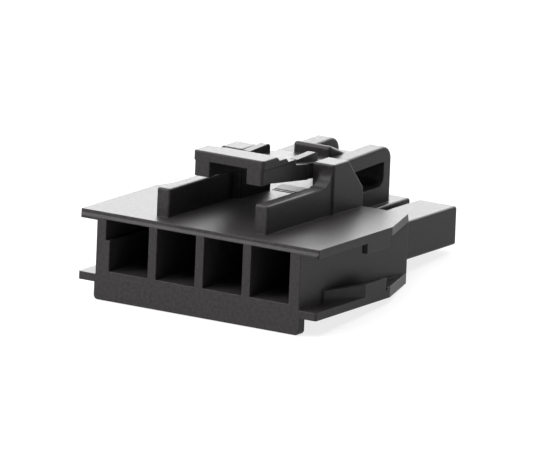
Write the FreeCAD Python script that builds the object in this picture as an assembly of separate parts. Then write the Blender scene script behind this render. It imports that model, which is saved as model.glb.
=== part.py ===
# Black four-way cable connector housing: one hollow nylon moulding.
# Sizes are millimetres. X runs along the row of ways, +Y runs from the wire side to the
# mating side and +Z is up. The origin is the middle of the row on the wire side, level
# with the axes of the four cavities.
import os

import FreeCAD, Part

# The row of ways.
ways = 4
pitch = 7.5
cavity_width = 6.2
cavity_height = 7.1
end_wall = 2.7
bore_side = 4.2
mouth_bevel = 0.5
key_width = 0.65
key_height = 2.85
key_depth = 12.0

# Block, top plate, side flanges and front skirt. The wall with the keyway is thicker.
side_wall = 1.65
key_wall = 2.1
top_wall = 0.93
floor_wall = 1.72
block_depth = 27.5
overhang = 2.75
shoulder_run = 8.6
corner_round = 0.3
shoulder_round = 0.9
plate_thickness = 1.2
ledge_back = 0.25
ledge_down = 0.48
ledge_fall = 0.36
flange_thickness = 1.1
flange_rise = 0.35
skirt_drop = 2.38
skirt_thickness = 1.35
skirt_lap = 0.15
skirt_round = 0.6
rear_bevel_back = 0.5
rear_bevel_down = 0.8

# A flared arm stands on each flange and a short rail hangs under each edge of the plate.
arm_height = 1.75
rail_drop = 1.45
arm_thickness = 0.85
arm_root = 6.2
arm_bend = 12.6
arm_setback = 0.8
rail_setback = 0.65

# Mating silos.
silo_width = 6.2
silo_height = 5.4
silo_drop = 0.27
silo_shift = 0.35
silo_length = 15.8
silo_round = 0.4

# Side guards with their raised posts. The post ends just before the block does.
guard_outside = 8.85
guard_thickness = 2.08
guard_front = 3.05
guard_height = 4.0
guard_round = 0.3
post_setback = 0.3
post_rake = 4.0
post_length = 3.9
post_width = 3.45
post_proud = 0.25
post_height = 6.95
post_heel = 2.6
post_sweep = 2.2

# Latch lever: a thumb pad on two legs, serrations and a sloping arm.
pad_reach = 20.7
pad_half = 5.45
pad_height = 9.05
pad_drop = 3.5
pad_bar = 1.37
pad_flat = 3.5
pad_lap = 0.15
pad_round = 0.4
leg_inside = 2.98
leg_foot = 1.0
leg_ramp = 0.8
leg_rise = 0.1
tooth_pitch = 2.3
tooth_back = 0.6
tooth_drop = 0.55
tooth_count = 3
heel_height = 7.1
neck_half = 4.95
neck_lead = 0.7
arm_sag = 2.65
throat_run = 4.0
throat_skin = 0.9

# Hairpin bend at the rear, on the two middle silos, with its notch.
knee_reach = 0.5
knee_height = 5.5
loop_half = 5.6
loop_reach = 12.5
loop_rise = 0.35
loop_skin = 2.05
loop_post = 2.0
loop_round = 1.9
edge_round = 0.45
window_round = 1.4
window_corner = 0.4
base_height = 0.33
base_ramp = 2.5
notch_half = 2.72
notch_depth = 1.95

# Catch wedge and ribs on the lever.
catch_half = 3.0
catch_setback = 0.1
catch_length = 4.4
catch_rise = 1.8
catch_fall = 1.7
catch_round = 0.5
rib_inside = 3.2
rib_width = 1.2
rib_length = 5.2
rib_overlap = 3.3
rib_front_height = 7.35
rib_back_height = 7.62
rib_round = 0.6

# How far fused pieces run into each other, and how far cutting tools run past the part.
sink = 0.5
clear = 1.0

# The least cosine between an edge and the direction that it is picked by.
parallel = 0.999

half_row = pitch * (ways - 1) / 2
right_face = half_row + cavity_width / 2 + side_wall
left_face = -half_row - cavity_width / 2 - key_wall
middle = (right_face + left_face) / 2
block_half = (right_face - left_face) / 2
wing_half = block_half + overhang
shoulder = block_depth - shoulder_run
plate_top = cavity_height / 2 + top_wall
block_bottom = -cavity_height / 2 - floor_wall
silo_top = silo_height / 2 - silo_drop
silo_end = block_depth + silo_length
post_foot = block_depth - post_setback
post_back = post_foot - post_rake
post_front = post_back - post_length
pad_front = block_depth - pad_reach
leg_bottom = pad_height - pad_drop
heel = pad_front + pad_flat + (tooth_count - 1) * tooth_pitch + tooth_back
knee = block_depth + knee_reach
loop_back = block_depth + loop_reach
loop_height = knee_height + loop_rise
notch_floor = loop_height - notch_depth
catch_top = knee_height + catch_rise


def block(x0, x1, y0, y1, z0, z1):
    corner = FreeCAD.Vector(x0, y0, z0)
    return Part.makeBox(x1 - x0, y1 - y0, z1 - z0, corner)


def centred(half, y0, y1, z0, z1):
    return block(middle - half, middle + half, y0, y1, z0, z1)


def plan_prism(outline, z0, z1):
    corners = [FreeCAD.Vector(x, y, z0) for x, y in outline]
    face = Part.Face(Part.makePolygon(corners + corners[:1]))
    return face.extrude(FreeCAD.Vector(0, 0, z1 - z0))


def side_prism(outline, x0, x1):
    # The outline is depth and height above the top plate, x0 and x1 are from the middle.
    corners = [FreeCAD.Vector(middle + x0, y, plate_top + z) for y, z in outline]
    face = Part.Face(Part.makePolygon(corners + corners[:1]))
    return face.extrude(FreeCAD.Vector(x1 - x0, 0, 0))


def both_sides(shape):
    other = shape.mirror(FreeCAD.Vector(middle, 0, 0), FreeCAD.Vector(1, 0, 0))
    return [shape, other]


def runs_along(edge, axis):
    run = edge.Vertexes[-1].Point.sub(edge.Vertexes[0].Point)
    return run.Length > 0 and abs(run.dot(axis)) > parallel * run.Length


def edges_along(shape, axis):
    return [edge for edge in shape.Edges if runs_along(edge, axis)]


def edge_at(shape, y, z):
    # The edge along X nearest to a depth and a height above the top plate.
    spot = FreeCAD.Vector(0, y, plate_top + z)
    across = edges_along(shape, FreeCAD.Vector(1, 0, 0))
    points = [edge.CenterOfMass for edge in across]
    away = [FreeCAD.Vector(0, p.y, p.z).sub(spot).Length for p in points]
    return across[away.index(min(away))]


def edges_above(shape, z):
    return [edge for edge in shape.Edges if edge.CenterOfMass.z > z]


def wing_plate(z0, z1):
    # Plan of the top plate and of the flanges: a bar with its rear corners cut at a slant.
    right = [(wing_half, 0), (wing_half, shoulder), (block_half, block_depth)]
    outline = right + [(-x, y) for x, y in reversed(right)]
    plate = plan_prism([(middle + x, y) for x, y in outline], z0, z1)
    upright = edges_along(plate, FreeCAD.Vector(0, 0, 1))
    upright.sort(key=lambda edge: edge.CenterOfMass.y)
    plate = plate.makeFillet(corner_round, upright[:2])
    upright = edges_along(plate, FreeCAD.Vector(0, 0, 1))
    bends = [e for e in upright if abs(e.CenterOfMass.y - shoulder) < corner_round]
    return plate.makeFillet(shoulder_round, bends)


def flange():
    # Behind the flared arm the flange is thicker.
    top = block_bottom + flange_thickness
    low = wing_plate(block_bottom, top)
    high = wing_plate(block_bottom, top + flange_rise)
    front = centred(wing_half + clear, -clear, shoulder - arm_setback, top, top + clear)
    return low.fuse(high.cut(front))


def skirt():
    top = block_bottom + flange_thickness
    wall = centred(block_half + skirt_lap, 0, skirt_thickness, block_bottom - skirt_drop, top)
    lower = [e for e in edges_along(wall, FreeCAD.Vector(0, 1, 0))
             if e.CenterOfMass.z < block_bottom]
    return wall.makeFillet(skirt_round, lower)


def shell():
    tube = centred(block_half, 0, block_depth, block_bottom, plate_top)
    plate = wing_plate(plate_top - plate_thickness, plate_top)
    return tube.fuse([flange(), skirt(), plate]).cut([front_ledge(), rear_bevel()])


def front_ledge():
    # The plate's front edge is set back above a steep ledge.
    steep = ledge_fall / ledge_back
    outline = [(ledge_back, clear), (ledge_back, -ledge_down),
               (-clear, -ledge_down - ledge_fall - clear * steep), (-clear, clear)]
    return side_prism(outline, -wing_half - clear, wing_half + clear)


def rear_bevel():
    steep = rear_bevel_down / rear_bevel_back
    outline = [(block_depth - rear_bevel_back, 0), (block_depth + clear, clear),
               (block_depth + clear, -rear_bevel_down - clear * steep)]
    return side_prism(outline, -wing_half, wing_half)


def flared_arm():
    # A thin wall leaves the block, flares out to the wing's edge and runs back along it.
    floor = block_bottom + flange_thickness
    z0 = floor - flange_thickness / 2
    z1 = floor + arm_height
    radius = arm_thickness / 2
    outer = middle + wing_half - radius
    root = FreeCAD.Vector(right_face, arm_root, z0)
    bend = FreeCAD.Vector(outer, arm_bend, z0)
    end = FreeCAD.Vector(outer, shoulder - arm_setback - radius, z0)
    pieces = []
    for start, stop in ((root, bend), (bend, end)):
        run = stop.sub(start)
        across = FreeCAD.Vector(run.y, -run.x, 0).normalize().multiply(radius)
        corners = [start.add(across), stop.add(across), stop.sub(across), start.sub(across)]
        strip = Part.Face(Part.makePolygon(corners + corners[:1]))
        pieces.append(strip.extrude(FreeCAD.Vector(0, 0, z1 - z0)))
    for centre in (root, bend, end):
        pieces.append(Part.makeCylinder(radius, z1 - z0, centre))
    return pieces[0].fuse(pieces[1:]).removeSplitter()


def rail():
    roof = plate_top - plate_thickness
    outer = middle + wing_half
    return block(outer - arm_thickness, outer, arm_bend, shoulder - rail_setback,
                 roof - rail_drop, roof + plate_thickness / 2)


def silo(x):
    centre = x - silo_shift
    tube = block(centre - silo_width / 2, centre + silo_width / 2, block_depth - sink, silo_end,
                 silo_top - silo_height, silo_top)
    return tube.makeFillet(silo_round, edges_along(tube, FreeCAD.Vector(0, 1, 0)))


def way_cut(x):
    # Cavity for the terminal, then a narrower bore to the mouth of the silo.
    cavity = block(x - cavity_width / 2, x + cavity_width / 2, -clear, block_depth - end_wall,
                   -cavity_height / 2, cavity_height / 2)
    half = bore_side / 2
    centre = x - silo_shift
    bore = block(centre - half, centre + half, 0, silo_end + clear,
                 -half - silo_drop, half - silo_drop)
    rings = []
    for y, reach in ((silo_end - mouth_bevel, half), (silo_end, half + mouth_bevel)):
        ring = [FreeCAD.Vector(centre + i * reach, y, j * reach - silo_drop)
                for i, j in ((-1, -1), (1, -1), (1, 1), (-1, 1))]
        rings.append(Part.makePolygon(ring + ring[:1]))
    return cavity.fuse([bore, Part.makeLoft(rings, True, True)])


def key_cut():
    # A shallow keyway in the first way, beside its roof.
    side = -half_row - cavity_width / 2
    roof = cavity_height / 2
    return block(side - key_width, side + sink, -clear, key_depth, roof - key_height, roof)


def guard():
    # A low wall beside the lever sweeps up into a post with a raked back.
    inside = guard_outside - guard_thickness
    wall = side_prism([(guard_front, -sink), (guard_front, guard_height),
                       (post_front + sink, guard_height), (post_front + sink, -sink)],
                      inside, guard_outside)
    wall = wall.makeFillet(guard_round, edges_above(wall, plate_top))
    outside = guard_outside + post_proud
    post = side_prism([(post_front, -sink), (post_front, post_height), (post_back, post_height),
                       (post_foot, post_heel), (post_foot, -sink)],
                      outside - post_width, outside)
    post = post.makeFillet(guard_round, edges_above(post, plate_top))
    return wall.fuse([post, sweep(inside)])


def sweep(inside):
    start = post_front - post_sweep
    top = guard_height + post_sweep
    corner = side_prism([(start, guard_height - sink), (post_front + sink, guard_height - sink),
                         (post_front + sink, top), (start, top)], inside, guard_outside)
    centre = FreeCAD.Vector(middle + inside - clear, start, plate_top + top)
    hollow = Part.makeCylinder(post_sweep, guard_thickness + 2 * clear, centre,
                               FreeCAD.Vector(1, 0, 0))
    return corner.cut(hollow)


def tooth_tops():
    # Crests and roots of the serrations, from the flat of the pad to the heel of the arm.
    points = []
    for step in range(tooth_count):
        crest = pad_front + pad_flat + step * tooth_pitch
        level = pad_height - step * tooth_drop
        points += [(crest, level), (crest + tooth_back, level - tooth_drop)]
    points[-1] = (heel, heel_height)
    return points


def pad_and_arm():
    # The arm slopes from the pad down to the knee and is narrower between the posts.
    foot = pad_front + leg_foot
    outline = [(pad_front, leg_bottom), (pad_front, pad_height)] + tooth_tops()
    outline += [(knee, knee_height), (knee, knee_height - loop_skin),
                (post_front, heel_height - arm_sag), (foot + leg_ramp, leg_bottom + leg_rise),
                (foot, leg_bottom)]
    tongue = round_front(side_prism(outline, -pad_half, pad_half))
    beside = block(middle + neck_half, middle + pad_half + clear, post_front - neck_lead,
                   knee + clear, plate_top, plate_top + pad_height)
    tongue = tongue.cut(Part.makeCompound(both_sides(beside)))
    return tongue.fuse(pad_cap()).cut(leg_recess())


def pad_cap():
    # The bar of the pad laps over the legs a little on each side.
    low = pad_height - pad_bar
    outline = [(pad_front, low), (pad_front, pad_height)] + tooth_tops()[:-1]
    outline.append((outline[-1][0], low))
    reach = pad_half + pad_lap
    return round_front(side_prism(outline, -reach, reach))


def round_front(shape):
    # The two upright corners and the top edge at the front of the pad.
    upright = edges_along(shape, FreeCAD.Vector(0, 0, 1))
    corners = [e for e in upright if abs(e.CenterOfMass.y - pad_front) < pad_round]
    shape = shape.makeFillet(pad_round, corners)
    return shape.makeFillet(pad_round / 2, [edge_at(shape, pad_front, pad_height)])


def leg_recess():
    # The arm is a channel: a skin on top with a leg down each side.
    end = knee - throat_run
    flat = pad_front + pad_flat
    outline = [(pad_front - clear, 0), (pad_front - clear, pad_height - pad_bar),
               (flat, pad_height - pad_bar), (heel, heel_height - pad_bar),
               (end, knee_height - throat_skin), (end, 0)]
    return side_prism(outline, -leg_inside, leg_inside)


def loop():
    # Hairpin bend: a rounded block on the two middle silos, less its window and notch.
    under = silo_top - plate_top - sink
    outline = [(block_depth - sink, under), (block_depth - sink, -sink), (block_depth, 0),
               (knee, 0), (knee, knee_height), (loop_back, loop_height), (loop_back, under)]
    bend = side_prism(outline, -loop_half, loop_half)
    bend = bend.makeFillet(loop_round, [edge_at(bend, loop_back, loop_height)])
    start = knee + catch_setback + catch_length
    floor = plate_top + notch_floor
    bend = bend.cut(centred(notch_half, start, loop_back + clear, floor,
                            plate_top + loop_height + clear))
    return bend.makeFillet(edge_round, loop_rims(bend, start, floor)).cut(window())


def loop_rims(bend, start, floor):
    # The rims of the bend's two humps behind the catch, and its outer rear corners below them.
    across = FreeCAD.Vector(1, 0, 0)
    humps = [e for e in bend.Edges if e.CenterOfMass.z > floor and e.CenterOfMass.y > start
             and not runs_along(e, across)]
    corners = [e for e in edges_along(bend, FreeCAD.Vector(0, 0, 1))
               if e.CenterOfMass.y > start and plate_top < e.CenterOfMass.z < floor]
    return humps + corners


def window():
    inner = loop_back - loop_post
    reach = loop_half + clear
    outline = [(block_depth, 0), (block_depth + base_ramp, base_height), (inner, base_height),
               (inner, loop_height - loop_skin), (knee, knee_height - loop_skin),
               (block_depth, knee_height - loop_skin)]
    gap = side_prism(outline, -reach, reach)
    gap = gap.makeFillet(window_round, [edge_at(gap, inner, base_height)])
    return gap.makeFillet(window_corner, [edge_at(gap, inner, loop_height - loop_skin)])


def catch():
    # Wedge with an upright front face and a ramp down to the lever.
    front = knee + catch_setback
    back = front + catch_length
    low = knee_height - sink
    wedge = side_prism([(front, low), (front, catch_top), (back, catch_top - catch_fall),
                        (back, low)], -catch_half, catch_half)
    sloped = [e for e in wedge.Edges if e.CenterOfMass.y > front + sink
              and e.CenterOfMass.y < back - sink and e.CenterOfMass.z > plate_top + knee_height]
    upright = [e for e in edges_along(wedge, FreeCAD.Vector(0, 0, 1))
               if e.CenterOfMass.y < front + sink]
    return wedge.makeFillet(catch_round, sloped + upright + [edge_at(wedge, front, catch_top)])


def rib():
    back = post_front + rib_overlap
    front = back - rib_length
    fin = side_prism([(front, knee_height), (front, rib_front_height), (back, rib_back_height),
                      (back, knee_height)], rib_inside, rib_inside + rib_width)
    return fin.makeFillet(rib_round, [edge_at(fin, back, rib_back_height)])


def housing():
    row = [i * pitch - half_row for i in range(ways)]
    added = [silo(x) for x in row] + both_sides(flared_arm()) + both_sides(rail())
    added += both_sides(guard()) + both_sides(rib()) + [pad_and_arm(), loop(), catch()]
    solid = shell().fuse(added)
    solid = solid.cut([way_cut(x) for x in row] + [key_cut()])
    return solid.removeSplitter()


os.makedirs("parts", exist_ok=True)
housing().exportStep("parts/housing.step")
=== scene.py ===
import math

import bpy
from mathutils import Matrix, Vector

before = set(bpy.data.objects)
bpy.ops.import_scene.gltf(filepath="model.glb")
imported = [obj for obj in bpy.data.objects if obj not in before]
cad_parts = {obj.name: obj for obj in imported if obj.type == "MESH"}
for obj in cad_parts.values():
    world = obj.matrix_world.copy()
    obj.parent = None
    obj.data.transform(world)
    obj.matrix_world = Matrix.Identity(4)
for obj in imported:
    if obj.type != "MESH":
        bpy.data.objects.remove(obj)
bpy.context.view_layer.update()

# Metres, in the frame of the CAD model. Angles are in degrees.
MM = 0.001
WHITE = (1.0, 1.0, 1.0, 1.0)

# Camera: a long lens, from the front right and a little above.
CAMERA_AZIMUTH = 31.62
CAMERA_ELEVATION = 12.88
CAMERA_ROLL = 2.30
CAMERA_DISTANCE = 2.2
CAMERA_AIM = Vector((0.15, 18.81, 1.90)) * MM
SENSOR_WIDTH = 36.0
PICTURE_WIDTH = 550
FOCAL_PIXELS = 16230
NEAR_CLIP = 0.05
FAR_CLIP = 60.0

# The housing lies on the foot of its skirt and the rear of its flanges.
SKIRT_FOOT = Vector((0.0, 1.35, -7.65)) * MM
FLANGE_HEEL = Vector((0.0, 27.5, -5.27)) * MM

# Floor, a hair below the housing.
FLOOR_SIZE = 30.0
FLOOR_GAP = 0.02 * MM
FLOOR_WHITE = 0.82
FLOOR_ROUGHNESS = 0.9
FLOOR_GLOW = 0.8

# Light of the surround on the object and the floor.
WORLD_STRENGTH = 0.25

# Black nylon. The mottling turns from the dark to the pale tone between two values of its noise.
SPECULAR_LEVEL = 0.14
DARK_TONE = (0.0114, 0.0103, 0.0106, 1.0)
PALE_TONE = (0.0178, 0.0161, 0.0166, 1.0)
DARK_BELOW = 0.38
PALE_ABOVE = 0.62
LEAST_ROUGHNESS = 0.32
MOST_ROUGHNESS = 0.48

# Noise of the mottling and of the finer grain, in cycles per metre.
MOTTLE_SCALE = 2200.0
MOTTLE_DETAIL = 4.0
GRAIN_SCALE = 5200.0
GRAIN_DETAIL = 3.0
GRAIN_STRENGTH = 0.5
GRAIN_DEPTH = 0.02 * MM

# Rounding that the light finds on each edge.
EDGE_RADIUS = 0.18 * MM
EDGE_SAMPLES = 6


def new_material(name):
    material = bpy.data.materials.new(name)
    material.use_nodes = True
    return material, material.node_tree.nodes, material.node_tree.links


def add_noise(nodes, links, place, scale, detail):
    noise = nodes.new("ShaderNodeTexNoise")
    noise.inputs["Scale"].default_value = scale
    noise.inputs["Detail"].default_value = detail
    links.new(place.outputs["Object"], noise.inputs["Vector"])
    return noise.outputs["Fac"]


def colour_mottling(nodes, links, mottle, shader):
    """Slight unevenness of tone and of gloss, both from the same noise."""
    tone = nodes.new("ShaderNodeValToRGB")
    dark, pale = tone.color_ramp.elements
    dark.position = DARK_BELOW
    dark.color = DARK_TONE
    pale.position = PALE_ABOVE
    pale.color = PALE_TONE
    links.new(mottle, tone.inputs["Fac"])
    links.new(tone.outputs["Color"], shader.inputs["Base Color"])

    gloss = nodes.new("ShaderNodeMapRange")
    gloss.inputs["To Min"].default_value = LEAST_ROUGHNESS
    gloss.inputs["To Max"].default_value = MOST_ROUGHNESS
    links.new(mottle, gloss.inputs["Value"])
    links.new(gloss.outputs["Result"], shader.inputs["Roughness"])


def add_relief(nodes, links, grain, shader):
    """Fine grain over softened edges."""
    soften = nodes.new("ShaderNodeBevel")
    soften.samples = EDGE_SAMPLES
    soften.inputs["Radius"].default_value = EDGE_RADIUS
    bump = nodes.new("ShaderNodeBump")
    bump.inputs["Strength"].default_value = GRAIN_STRENGTH
    bump.inputs["Distance"].default_value = GRAIN_DEPTH
    links.new(grain, bump.inputs["Height"])
    links.new(soften.outputs["Normal"], bump.inputs["Normal"])
    links.new(bump.outputs["Normal"], shader.inputs["Normal"])


def black_nylon():
    """Black moulded nylon: fine grain, slight flow mottling, softened edges."""
    material, nodes, links = new_material("black_nylon")
    shader = nodes["Principled BSDF"]
    shader.inputs["Specular IOR Level"].default_value = SPECULAR_LEVEL
    place = nodes.new("ShaderNodeTexCoord")
    mottle = add_noise(nodes, links, place, MOTTLE_SCALE, MOTTLE_DETAIL)
    grain = add_noise(nodes, links, place, GRAIN_SCALE, GRAIN_DETAIL)
    colour_mottling(nodes, links, mottle, shader)
    add_relief(nodes, links, grain, shader)
    return material


def seen_directly(nodes, links):
    """One for rays from the camera, a reflection or a clear thing, and nothing for all others."""
    path = nodes.new("ShaderNodeLightPath")
    total = path.outputs["Is Camera Ray"]
    for kind in ("Is Glossy Ray", "Is Transmission Ray"):
        larger = nodes.new("ShaderNodeMath")
        larger.operation = "MAXIMUM"
        links.new(total, larger.inputs[0])
        links.new(path.outputs[kind], larger.inputs[1])
        total = larger.outputs["Value"]
    return total


def blend(nodes, links, share, usual, white, surface):
    """The usual shader where the share is nothing, and the white one where it is one."""
    mix = nodes.new("ShaderNodeMixShader")
    links.new(share, mix.inputs["Fac"])
    links.new(usual, mix.inputs[1])
    links.new(white, mix.inputs[2])
    links.new(mix.outputs["Shader"], surface)


def studio_white():
    """Pale matt board that stays white to the camera and keeps the object's shadow."""
    material, nodes, links = new_material("studio_white")
    board = nodes["Principled BSDF"]
    board.inputs["Roughness"].default_value = FLOOR_ROUGHNESS
    board.inputs["Base Color"].default_value = (FLOOR_WHITE, FLOOR_WHITE, FLOOR_WHITE, 1.0)
    glow = nodes.new("ShaderNodeEmission")
    share = nodes.new("ShaderNodeMath")
    share.operation = "MULTIPLY"
    share.inputs[1].default_value = FLOOR_GLOW
    links.new(seen_directly(nodes, links), share.inputs[0])
    blend(nodes, links, share.outputs["Value"], board.outputs["BSDF"],
          glow.outputs["Emission"], nodes["Material Output"].inputs["Surface"])
    return material


def add_world():
    """Even pale surround; white where the camera or a reflection sees it."""
    world = bpy.data.worlds.new("studio")
    bpy.context.scene.world = world
    world.use_nodes = True
    nodes = world.node_tree.nodes
    links = world.node_tree.links
    surround = nodes["Background"]
    surround.inputs["Color"].default_value = WHITE
    surround.inputs["Strength"].default_value = WORLD_STRENGTH
    white = nodes.new("ShaderNodeBackground")
    white.inputs["Color"].default_value = WHITE
    blend(nodes, links, seen_directly(nodes, links), surround.outputs["Background"],
          white.outputs["Background"], nodes["World Output"].inputs["Surface"])


def axes_matrix(x, y, z):
    """The turn that takes the world's axes to these three."""
    return Matrix((x, y, z)).transposed().to_4x4()


def lay_floor():
    """A wide floor through the line of the skirt's foot and the line of the flanges' heels."""
    run = (FLANGE_HEEL - SKIRT_FOOT).normalized()
    side = Vector((1.0, 0.0, 0.0))
    up = side.cross(run)
    bpy.ops.mesh.primitive_plane_add(size=FLOOR_SIZE)
    floor = bpy.context.object
    floor.name = "floor"
    floor.matrix_world = Matrix.Translation(SKIRT_FOOT - up * FLOOR_GAP) @ axes_matrix(side, run, up)
    floor.data.materials.append(studio_white())


def direction(azimuth, elevation):
    """Out from the housing: azimuth 0 is its wire side and 90 its right."""
    a = math.radians(azimuth)
    e = math.radians(elevation)
    return Vector((math.sin(a) * math.cos(e), -math.cos(a) * math.cos(e), math.sin(e)))


def view_axes():
    """Right, up and back of the camera, from its azimuth, elevation and roll."""
    azimuth = math.radians(CAMERA_AZIMUTH)
    roll = math.radians(CAMERA_ROLL)
    back = direction(CAMERA_AZIMUTH, CAMERA_ELEVATION)
    level = Vector((math.cos(azimuth), math.sin(azimuth), 0.0))
    rise = back.cross(level)
    right = level * math.cos(roll) + rise * math.sin(roll)
    return right, back.cross(right), back


def add_camera():
    right, up, back = view_axes()
    data = bpy.data.cameras.new("camera")
    data.sensor_width = SENSOR_WIDTH
    data.lens = FOCAL_PIXELS / PICTURE_WIDTH * SENSOR_WIDTH
    data.clip_start = NEAR_CLIP
    data.clip_end = FAR_CLIP
    camera = bpy.data.objects.new("camera", data)
    bpy.context.scene.collection.objects.link(camera)
    eye = CAMERA_AIM + back * CAMERA_DISTANCE
    camera.matrix_world = Matrix.Translation(eye) @ axes_matrix(right, up, back)
    bpy.context.scene.camera = camera


def add_softbox(name, azimuth, elevation, distance, size, power):
    """A soft square lamp that faces the housing, placed by the angles that a camera there has."""
    away = direction(azimuth, elevation)
    data = bpy.data.lights.new(name, "AREA")
    data.size = size
    data.energy = power
    lamp = bpy.data.objects.new(name, data)
    bpy.context.scene.collection.objects.link(lamp)
    lamp.location = CAMERA_AIM + away * distance
    lamp.rotation_euler = away.to_track_quat("Z", "Y").to_euler()


def add_lamps():
    """A large lamp behind for the upper faces, and small ones for the faces toward the camera."""
    add_softbox("back_light", azimuth=212.0, elevation=34.0, distance=0.9, size=1.3, power=29.0)
    add_softbox("top_light", azimuth=0.0, elevation=70.0, distance=0.9, size=0.7, power=8.0)
    add_softbox("left_light", azimuth=-52.0, elevation=32.0, distance=1.0, size=0.6, power=13.0)
    add_softbox("front_light", azimuth=-30.0, elevation=6.0, distance=1.0, size=0.5, power=4.0)


def dress_housing():
    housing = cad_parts["housing"]
    housing.data.materials.clear()
    housing.data.materials.append(black_nylon())


dress_housing()
lay_floor()
add_camera()
add_world()
add_lamps()

bpy.context.scene.view_settings.view_transform = "Standard"
